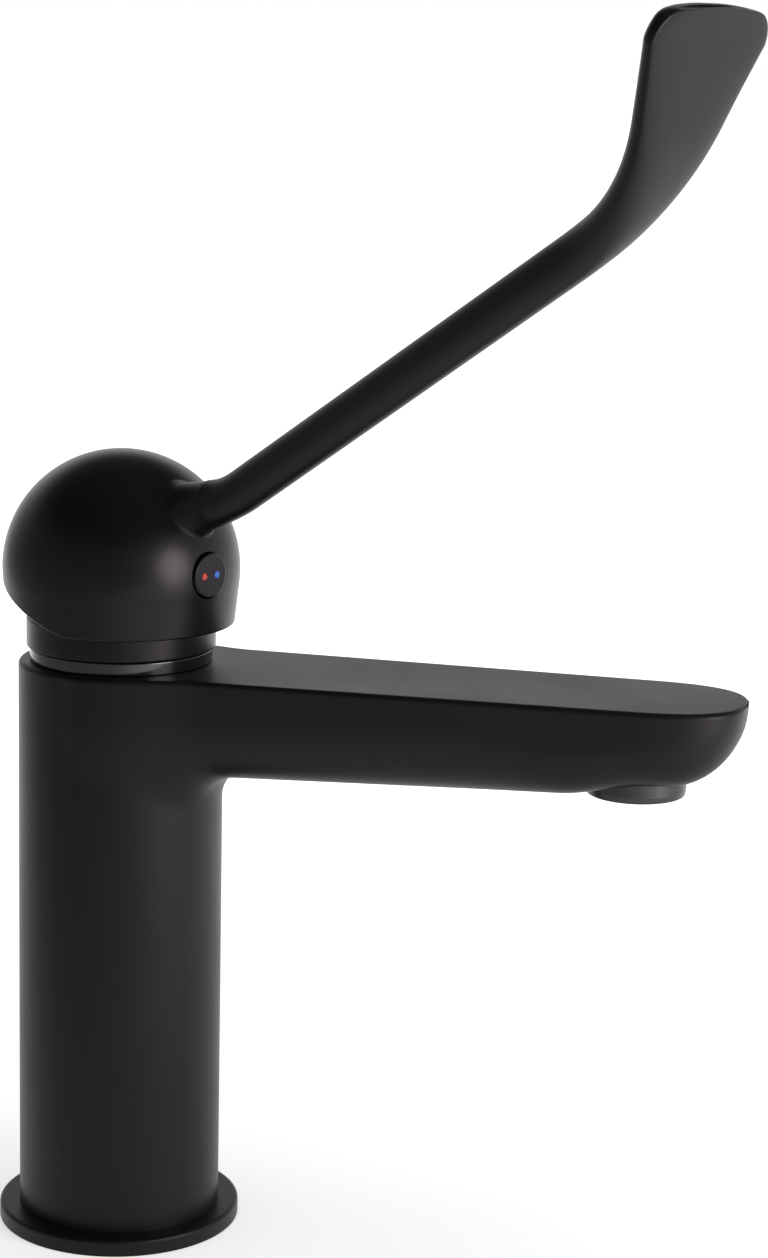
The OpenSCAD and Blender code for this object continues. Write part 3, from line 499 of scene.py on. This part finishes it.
ARM_R, ARM_ROOT_R, FLARE_L = 4.8, 6.6, 13.0
ROOT_PITCH, ARM_PITCH, PADDLE_PITCH = (math.radians(a) for a in (16.6, 33.2, 70.5))
ROOT_L, ARM_BEND, ARM_L, PADDLE_BEND, PADDLE_L = 6.7, 32.0, 107.0, 44.6, 23.1
PADDLE_W, PADDLE_T, PADDLE_CORNER, BULGE, FLAT_T = 38.8, 5.4, 5.7, 1.5, 1.1
WIDEN_L, EASE, SQUARE, BACK_SQUARE = 6.7, 0.21, 0.5, 0.4
ROOT_SINK, ROOT_FILLET, ROOT_FILLET_SHARE = 0.25, 0.9, 0.16
BEND_1 = ROOT_L
STRAIGHT_1 = BEND_1 + ARM_BEND * (ARM_PITCH - ROOT_PITCH)
BEND_2 = STRAIGHT_1 + ARM_L
STRAIGHT_2 = BEND_2 + PADDLE_BEND * (PADDLE_PITCH - ARM_PITCH)
ARM_END = STRAIGHT_2 + PADDLE_L
DOME_ANGLE = math.radians(36.1)


def heading(pitch):
    """A step of one in the lever's own plane: forward and up."""
    return np.array([math.cos(pitch), math.sin(pitch)])


def arm_pitch(s):
    """Slope of the arm at a length along it: three straight stretches with a bend between each two."""
    if s < BEND_1:
        return ROOT_PITCH
    if s < STRAIGHT_1:
        return ROOT_PITCH + (s - BEND_1) / ARM_BEND
    if s < BEND_2:
        return ARM_PITCH
    return min(PADDLE_PITCH, ARM_PITCH + (s - BEND_2) / PADDLE_BEND)


def bend(radius, start, end):
    """The way along an arc from one slope to another."""
    return radius * np.array([math.sin(end) - math.sin(start), math.cos(start) - math.cos(end)])


def arm_point(s):
    p = np.array([0, DOME_Z]) + DOME_R * heading(DOME_ANGLE) + min(s, BEND_1) * heading(ROOT_PITCH)
    if s > BEND_1:
        p = p + bend(ARM_BEND, ROOT_PITCH, arm_pitch(min(s, STRAIGHT_1 - 1e-9)))
    if s > STRAIGHT_1:
        p = p + (min(s, BEND_2) - STRAIGHT_1) * heading(ARM_PITCH)
    if s > BEND_2:
        p = p + bend(PADDLE_BEND, ARM_PITCH, arm_pitch(min(s, STRAIGHT_2)))
    if s > STRAIGHT_2:
        p = p + (s - STRAIGHT_2) * heading(PADDLE_PITCH)
    return p


def spread(s):
    """How far the round arm has turned into the wide paddle, from 0 to 1."""
    u = np.clip((s - (BEND_2 - WIDEN_L)) / (ARM_END - PADDLE_CORNER - (BEND_2 - WIDEN_L)), 0, 1)
    return u * u * (1 + EASE) / (u + EASE)


def end_round(s, r):
    """What a round end takes off at a length along the arm."""
    left = np.clip(ARM_END - s, 0, r)
    return r - math.sqrt(max(r * r - (r - left) ** 2, 0))


def flare(s):
    return np.clip(1 - s / FLARE_L, 0, 1) ** 2


def arm_ring(s, sides):
    """One section of the arm; the paddle's front is flat and its back is domed."""
    p, pitch, wide = arm_point(s), arm_pitch(s), spread(s)
    base = ARM_R + (ARM_ROOT_R - ARM_R) * flare(s)
    width = base + (PADDLE_W / 2 - ARM_R) * wide - end_round(s, PADDLE_CORNER)
    thick = base + (PADDLE_T / 2 - ARM_R) * wide - end_round(s, PADDLE_T / 3)
    under = thick + (min(FLAT_T, thick) - thick) * wide
    ring = []
    for i in range(sides):
        turn = 2 * math.pi * (i + 0.5) / sides
        power = 1 - SQUARE * wide * (1.0 if turn > math.pi else BACK_SQUARE)
        across = width * math.copysign(abs(math.cos(turn)) ** (1 - SQUARE * wide), math.cos(turn))
        height = under if turn > math.pi else 2 * thick - under
        up = height * math.copysign(abs(math.sin(turn)) ** power, math.sin(turn))
        back = BULGE * (2 * across / PADDLE_W) ** 2 * wide ** 3
        q = p + up * heading(pitch + math.pi / 2) - back * heading(pitch)
        ring.append((q[0], across, q[1]))
    return ring


def root_ring(r, share, sides):
    """A ring about the arm's root, from just inside the dome at share 0 to the first bend at share 1."""
    ring = []
    for i in range(sides):
        turn = 2 * math.pi * (i + 0.5) / sides
        across, up = r * math.cos(turn), r * math.sin(turn)
        start = arm_point(0) + up * heading(ROOT_PITCH + math.pi / 2) - np.array([0, DOME_Z])
        toward = start @ heading(ROOT_PITCH)
        seat = DOME_R - ROOT_SINK
        s0 = math.sqrt(seat ** 2 - start @ start - across ** 2 + toward ** 2) - toward
        s = (1 - share) * s0 + share * ROOT_L
        q = arm_point(0) + s * heading(ROOT_PITCH) + up * heading(ROOT_PITCH + math.pi / 2)
        ring.append((q[0], across, q[1]))
    return ring


def build_arm(sides=72):
    def root_r(share):
        end = ARM_R + (ARM_ROOT_R - ARM_R) * flare(ROOT_L)
        return ARM_ROOT_R + (end - ARM_ROOT_R) * share * (2 - share)
    rings = [root_ring(r, 0, sides) for r in (2.0, 4.4, 6.0)]
    for share in np.concatenate([np.linspace(0, 0.2, 9), np.linspace(0.25, 0.95, 12)]):
        fillet = ROOT_FILLET * max(0, 1 - share / ROOT_FILLET_SHARE) ** 2
        rings.append(root_ring(root_r(share) + fillet, share, sides))
    stops = list(np.linspace(BEND_1, 18, 22)) + list(np.linspace(24, BEND_2 - WIDEN_L, 18))
    stops += list(np.linspace(BEND_2 - WIDEN_L, ARM_END - PADDLE_CORNER, 60)[1:])
    turns = (8, 16, 24, 32, 40, 48, 56, 63, 70, 76, 81, 85, 88, 90)
    stops += [ARM_END - PADDLE_CORNER * (1 - math.sin(math.radians(t))) for t in turns]
    rings += [arm_ring(s, sides) for s in stops]
    n = len(rings)
    faces = strip(n, sides) + [tuple(range(sides))[::-1], tuple(range((n - 1) * sides, n * sides))]
    arm = outward(make("lever_arm_skin", [q for r in rings for q in r], faces))
    return place(by_angle(arm, 60), turn=TURN)


# The indicator

def facing(obj, x, y=0.0):
    """Turns a piece that was made along +Z to face forward from the head, at the cap's height."""
    return place(obj, turn=TURN, shift=(x, y, CAP_Z), tilt=Matrix.Rotation(math.pi / 2, 4, "Y"))


def build_cap():
    path = rounded([(0, 0, 0), (CAP_R, 0, 0.2), (CAP_R, CAP_T, 0.45), (0, CAP_T, 0)], 6)
    cap = turned("indicator_cap_skin", path, 128)
    for side in (-1, 1):
        hole = cylinder("hole", DOT_HOLE_R, CAP_T - DOT_DEPTH, CAP_T + 1, 48)
        boolean(cap, place(hole, shift=(0, side * DOT_Y, 0)), "DIFFERENCE")
    by_angle(cap, 30)
    return facing(cap, CAP_FACE - CAP_T)


def build_mark(name, side):
    path = rounded([(0, 0, 0), (DOT_R, 0, 0.05), (DOT_R, 0.42, 0.12), (0, 0.46, 0)], 4)
    return facing(turned(name, path, 48), CAP_FACE - DOT_DEPTH, side * DOT_Y)


# Materials

NOISE_LOW, NOISE_HIGH = 0.3, 0.7      # the range that most of a noise lies in


def nodes_of(name):
    material = bpy.data.materials.new(name)
    material.use_nodes = True
    tree = material.node_tree
    return material, tree, tree.nodes["Principled BSDF"]


def noise(tree, scale, detail=3.0, roughness=0.5):
    where = tree.nodes.new("ShaderNodeTexCoord")
    node = tree.nodes.new("ShaderNodeTexNoise")
    node.inputs["Scale"].default_value = scale
    node.inputs["Detail"].default_value = detail
    node.inputs["Roughness"].default_value = roughness
    tree.links.new(where.outputs["Object"], node.inputs["Vector"])
    return node


def between(tree, source, low_value, high_value):
    """Maps a noise's middle range onto two numbers."""
    node = tree.nodes.new("ShaderNodeMapRange")
    node.inputs["From Min"].default_value, node.inputs["From Max"].default_value = NOISE_LOW, NOISE_HIGH
    node.inputs["To Min"].default_value, node.inputs["To Max"].default_value = low_value, high_value
    tree.links.new(source, node.inputs["Value"])
    return node.outputs["Result"]


def ramp(tree, source, dark, light):
    """Maps a noise's middle range onto two colours."""
    node = tree.nodes.new("ShaderNodeValToRGB")
    first, second = node.color_ramp.elements
    first.position, second.position = NOISE_LOW, NOISE_HIGH
    first.color, second.color = (*dark, 1), (*light, 1)
    tree.links.new(source, node.inputs["Fac"])
    return node.outputs["Color"]


def finish(name, dark, light, rough, metallic=0.0, patch=40, grain=2500, bump=0.04, depth=0.00005,
           tint=(1, 1, 1, 1), specular=0.5):
    """A material whose colour and gloss vary in soft patches, over a fine grain in its surface."""
    material, tree, shader = nodes_of(name)
    broad, fine = noise(tree, patch), noise(tree, grain, 2.0)
    tree.links.new(ramp(tree, broad.outputs["Fac"], dark, light), shader.inputs["Base Color"])
    tree.links.new(between(tree, broad.outputs["Fac"], *rough), shader.inputs["Roughness"])
    shader.inputs["Metallic"].default_value = metallic
    shader.inputs["Specular Tint"].default_value = tint
    shader.inputs["Specular IOR Level"].default_value = specular
    surface = tree.nodes.new("ShaderNodeBump")
    surface.inputs["Strength"].default_value = bump
    surface.inputs["Distance"].default_value = depth
    tree.links.new(fine.outputs["Fac"], surface.inputs["Height"])
    tree.links.new(surface.outputs["Normal"], shader.inputs["Normal"])
    return material


PAINT = {"grain": 3500, "tint": (1.0, 0.9, 0.99, 1.0), "specular": 0.22}
# Of each look: its dark and light colour, its least and most roughness, and what else differs
LOOKS = {
    "satin_black": ((0.0036, 0.003, 0.0036), (0.0048, 0.0041, 0.0048), (0.37, 0.42),
                    dict(bump=0.08, **PAINT)),
    "lever_black": ((0.003, 0.0026, 0.003), (0.004, 0.0034, 0.004), (0.28, 0.32),
                    dict(bump=0.04, **PAINT)),
    "black_chrome": ((0.045, 0.045, 0.047), (0.06, 0.06, 0.062), (0.1, 0.16),
                     dict(metallic=1.0, grain=900, bump=0.02)),
    "dark_nickel": ((0.05, 0.049, 0.051), (0.06, 0.059, 0.061), (0.3, 0.36),
                    dict(metallic=1.0, grain=1500, bump=0.05)),
    "brass": ((0.62, 0.44, 0.17), (0.7, 0.52, 0.24), (0.24, 0.34),
              dict(metallic=1.0, grain=1200, bump=0.1)),
    "steel": ((0.5, 0.5, 0.51), (0.6, 0.6, 0.61), (0.24, 0.34),
              dict(metallic=1.0, grain=1500, bump=0.1)),
    "rubber": ((0.011, 0.011, 0.011), (0.02, 0.02, 0.02), (0.72, 0.85),
               dict(grain=1800, bump=0.25)),
    "ceramic": ((0.78, 0.76, 0.71), (0.84, 0.82, 0.78), (0.2, 0.28),
                dict(grain=2500, bump=0.03)),
    "white_plastic": ((0.72, 0.72, 0.7), (0.8, 0.8, 0.78), (0.42, 0.52),
                      dict(grain=1600, bump=0.1)),
    "dark_plastic": ((0.02, 0.02, 0.022), (0.035, 0.035, 0.038), (0.42, 0.52),
                     dict(grain=1600, bump=0.1)),
    "hot_red": ((0.42, 0.02, 0.015), (0.55, 0.035, 0.025), (0.25, 0.32),
                dict(patch=900, grain=4000, bump=0.03)),
    "cold_blue": ((0.01, 0.09, 0.42), (0.02, 0.13, 0.52), (0.25, 0.32),
                  dict(patch=900, grain=4000, bump=0.03)),
}
MATERIALS = {name: finish(name, *look[:3], **look[3]) for name, look in LOOKS.items()}


def dress(obj, material):
    obj.data.materials.clear()
    obj.data.materials.append(MATERIALS[material])


# Assembling

PIECES = [
    (build_body, "tap_body", "body", "satin_black", "satin_black"),
    (build_base_ring, "tap_body", "base_ring", "satin_black", "satin_black"),
    (build_trim_ring, "tap_body", "trim_ring", "black_chrome", "black_chrome"),
    (build_collar, "tap_body", "cover_collar", "lever_black", "satin_black"),
    (build_aerator, "tap_body", "aerator_housing", "dark_nickel", "black_chrome"),
    (build_head, "lever", "lever_head", "lever_black", "satin_black"),
    (build_arm, "lever", "lever_arm", "satin_black", "satin_black"),
    (build_cap, "lever", "indicator_cap", "lever_black", "satin_black"),
    (lambda: build_mark("hot_dot", -1), "lever", "hot_mark", "hot_red", "hot_red"),
    (lambda: build_mark("cold_dot", 1), "lever", "cold_mark", "cold_blue", "cold_blue"),
]
for build, body_name, node, look, slot in PIECES:
    piece = build()
    dress(piece, look)
    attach(piece, body_name)
    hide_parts(node)

slot_of = {part["node"]: part["material_slot"] for part in frame["record"]["subparts"]}
replaced = {entry[2] for entry in PIECES}
for node, obj in frame["nodes"].items():
    if node not in replaced:
        dress(obj, slot_of[node])


# Studio

def math_node(tree, operation, a, b=None, clamp=False):
    node = tree.nodes.new("ShaderNodeMath")
    node.operation, node.use_clamp = operation, clamp
    for k, value in enumerate((a, b)):
        if value is None:
            continue
        if isinstance(value, (int, float)):
            node.inputs[k].default_value = value
        else:
            tree.links.new(value, node.inputs[k])
    return node.outputs[0]


def smooth_step(tree, value, start, end, first, last):
    """Goes smoothly from a first to a last level while a value goes from start to end."""
    node = tree.nodes.new("ShaderNodeMapRange")
    node.interpolation_type = "SMOOTHSTEP"
    node.inputs["From Min"].default_value, node.inputs["From Max"].default_value = start, end
    node.inputs["To Min"].default_value, node.inputs["To Max"].default_value = first, last
    tree.links.new(value, node.inputs["Value"])
    return node.outputs["Result"]


def seen_rays(tree):
    """A flag for the rays that show the background: from the camera, in a reflection or through glass."""
    path = tree.nodes.new("ShaderNodeLightPath")
    shown = math_node(tree, "ADD", path.outputs["Is Glossy Ray"], path.outputs["Is Transmission Ray"], True)
    return math_node(tree, "ADD", path.outputs["Is Camera Ray"], shown, True)


def parts_of(tree, vector):
    """How far a place or direction lies towards the light side, its height and its distance from the axis."""
    split = tree.nodes.new("ShaderNodeSeparateXYZ")
    tree.links.new(vector, split.inputs[0])
    x, y, z = (split.outputs[k] for k in "XYZ")
    along_x = math_node(tree, "MULTIPLY", x, math.cos(LIGHT_SIDE))
    along_y = math_node(tree, "MULTIPLY", y, math.sin(LIGHT_SIDE))
    square = math_node(tree, "ADD", math_node(tree, "MULTIPLY", x, x), math_node(tree, "MULTIPLY", y, y))
    return math_node(tree, "ADD", along_x, along_y), z, math_node(tree, "SQRT", square)


# One background for the camera, mirrors and glass alike: white behind the tap and at its right, falling off
# to a pale grey in front and at the left, under a dim ceiling. On the floor this fall-off is painted shade
# in its colour and glow; in the world it is light
LIGHT_SIDE = math.radians(45)
PALE, CEILING = 0.36, 0.1
FLOOR_SHADE_FADE, WALL_FADE, CEILING_FADE = (-0.45, 0.0), (-0.6, 0.2), (0.3, 0.6)
SHADOW_FADE, SHADOW_GLOW = (0.1, 0.5), 0.5   # near the tap the floor glows less, so that its shadow shows
FLOOR_HALF = 20000
PAPER = 0.6                       # colour of the floor where no painted shade darkens it
SOFT_LIGHT = 0.5                  # level of the world for matt surfaces

corners = ((-1, -1), (1, -1), (1, 1), (-1, 1))
floor_points = [(x * FLOOR_HALF, y * FLOOR_HALF, 0) for x, y in corners]
floor = make("floor", floor_points, [(0, 1, 2, 3)])
floor_material = bpy.data.materials.new("white_floor")
floor_material.use_nodes = True
tree = floor_material.node_tree
tree.nodes.clear()
out = tree.nodes.new("ShaderNodeOutputMaterial")
seen = seen_rays(tree)
side, _, distance = parts_of(tree, tree.nodes.new("ShaderNodeNewGeometry").outputs["Position"])
# painted shade: the floor's colour and glow fall from white to a pale grey in front and at the left
level = smooth_step(tree, side, *FLOOR_SHADE_FADE, PALE, 1.0)
white = math_node(tree, "MULTIPLY", level, smooth_step(tree, distance, *SHADOW_FADE, SHADOW_GLOW, 1.0))
glow = tree.nodes.new("ShaderNodeEmission")
tree.links.new(math_node(tree, "MULTIPLY", white, seen), glow.inputs["Strength"])
matt = tree.nodes.new("ShaderNodeBsdfDiffuse")
grey = tree.nodes.new("ShaderNodeCombineColor")
tone = math_node(tree, "MULTIPLY", level, PAPER)
for channel in ("Red", "Green", "Blue"):
    tree.links.new(tone, grey.inputs[channel])
tree.links.new(grey.outputs[0], matt.inputs["Color"])
both = tree.nodes.new("ShaderNodeAddShader")
tree.links.new(glow.outputs[0], both.inputs[0])
tree.links.new(matt.outputs[0], both.inputs[1])
tree.links.new(both.outputs[0], out.inputs["Surface"])
floor.data.materials.append(floor_material)

world = bpy.data.worlds.new("studio")
bpy.context.scene.world = world
world.use_nodes = True
tree = world.node_tree
tree.nodes.clear()
out = tree.nodes.new("ShaderNodeOutputWorld")
seen = seen_rays(tree)
side, height, _ = parts_of(tree, tree.nodes.new("ShaderNodeTexCoord").outputs["Generated"])
walls = smooth_step(tree, side, *WALL_FADE, PALE, 1.0)
level = math_node(tree, "MULTIPLY", walls, smooth_step(tree, height, *CEILING_FADE, 1.0, CEILING))
plain = math_node(tree, "MULTIPLY", math_node(tree, "SUBTRACT", 1.0, seen), SOFT_LIGHT)
strength = math_node(tree, "ADD", math_node(tree, "MULTIPLY", level, seen), plain)
background = tree.nodes.new("ShaderNodeBackground")
background.inputs["Color"].default_value = (1, 1, 1, 1)
tree.links.new(strength, background.inputs["Strength"])
tree.links.new(background.outputs[0], out.inputs["Surface"])


def lamp(name, location, target, size, watts, mirrored):
    """A round soft lamp that the camera doesn't see; mirrors show it only where mirrored is set."""
    data = bpy.data.lights.new(name, "AREA")
    data.shape, data.size, data.energy = "DISK", size, watts
    obj = bpy.data.objects.new(name, data)
    bpy.context.scene.collection.objects.link(obj)
    obj.location = location
    obj.rotation_mode = "QUATERNION"
    obj.rotation_quaternion = (Vector(target) - Vector(location)).to_track_quat("-Z", "Y")
    obj.visible_camera, obj.visible_glossy = False, mirrored


lamp("overhead", (0.25, 0.1, 1.5), (0.03, 0, 0.1), 1.2, 8, False)
lamp("right", (0.8, -0.3, 0.25), (0.03, 0, 0.1), 0.45, 4, True)

# Camera

camera_data = bpy.data.cameras.new("camera")
camera = bpy.data.objects.new("camera", camera_data)
bpy.context.scene.collection.objects.link(camera)
camera.location = (0.208197, -0.616809, 0.270458)
camera.rotation_mode = "QUATERNION"
aim = Vector((-0.228178, 0.953263, -0.197729))
roll = 0.02184
camera.rotation_quaternion = aim.to_track_quat("-Z", "Y") @ Quaternion((0, 0, 1), roll)
camera_data.lens = 84.367
camera_data.sensor_width = 36.0
camera_data.clip_start, camera_data.clip_end = 0.01, 100.0
bpy.context.scene.camera = camera
bpy.context.scene.view_settings.view_transform = "Standard"
